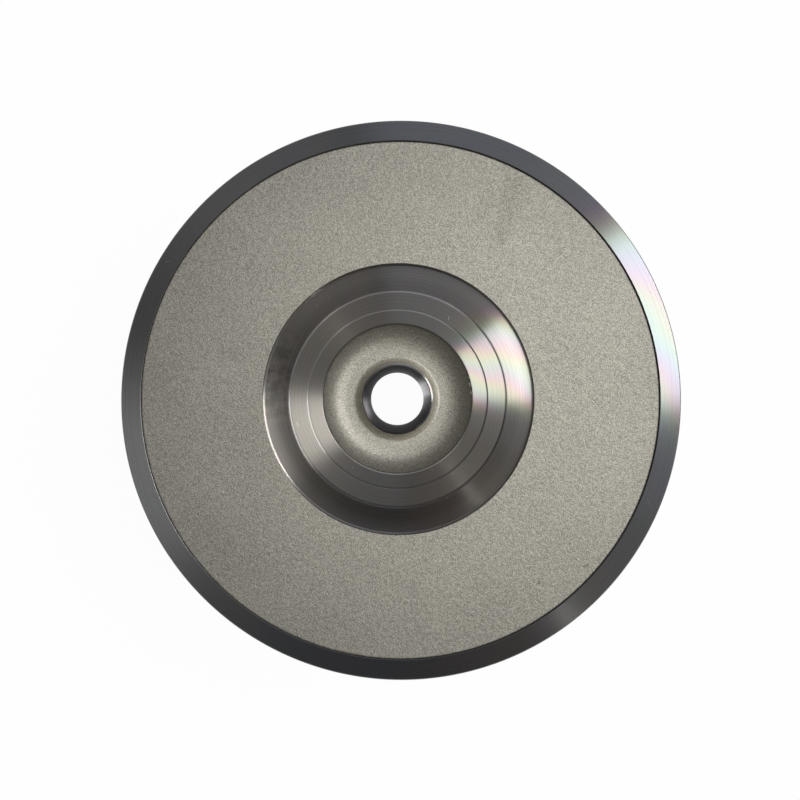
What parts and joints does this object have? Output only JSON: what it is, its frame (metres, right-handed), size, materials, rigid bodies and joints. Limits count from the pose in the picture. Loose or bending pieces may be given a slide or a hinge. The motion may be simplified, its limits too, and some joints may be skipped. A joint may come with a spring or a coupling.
{
  "type": "compressor wheel",
  "caption": "Turbocharger compressor wheel: cast disc with swept blades and splitters under it, and a turned hub with a plain shaft bore.",
  "frame": {"origin": "on the shaft axis, in the plane of the nose face that the wheel stands on", "axes": "+Z along the shaft axis from the nose to the back of the disc; one full blade's inlet edge starts near +X"},
  "size_m": [0.1, 0.1, 0.044],
  "materials": {
    "cast_aluminium": "shot-blasted casting with fine-turned rim, hub rings, bore and nose"
  },
  "bodies": {
    "root": {"compressor_wheel": "cast_aluminium"}
  },
  "joints": []
}
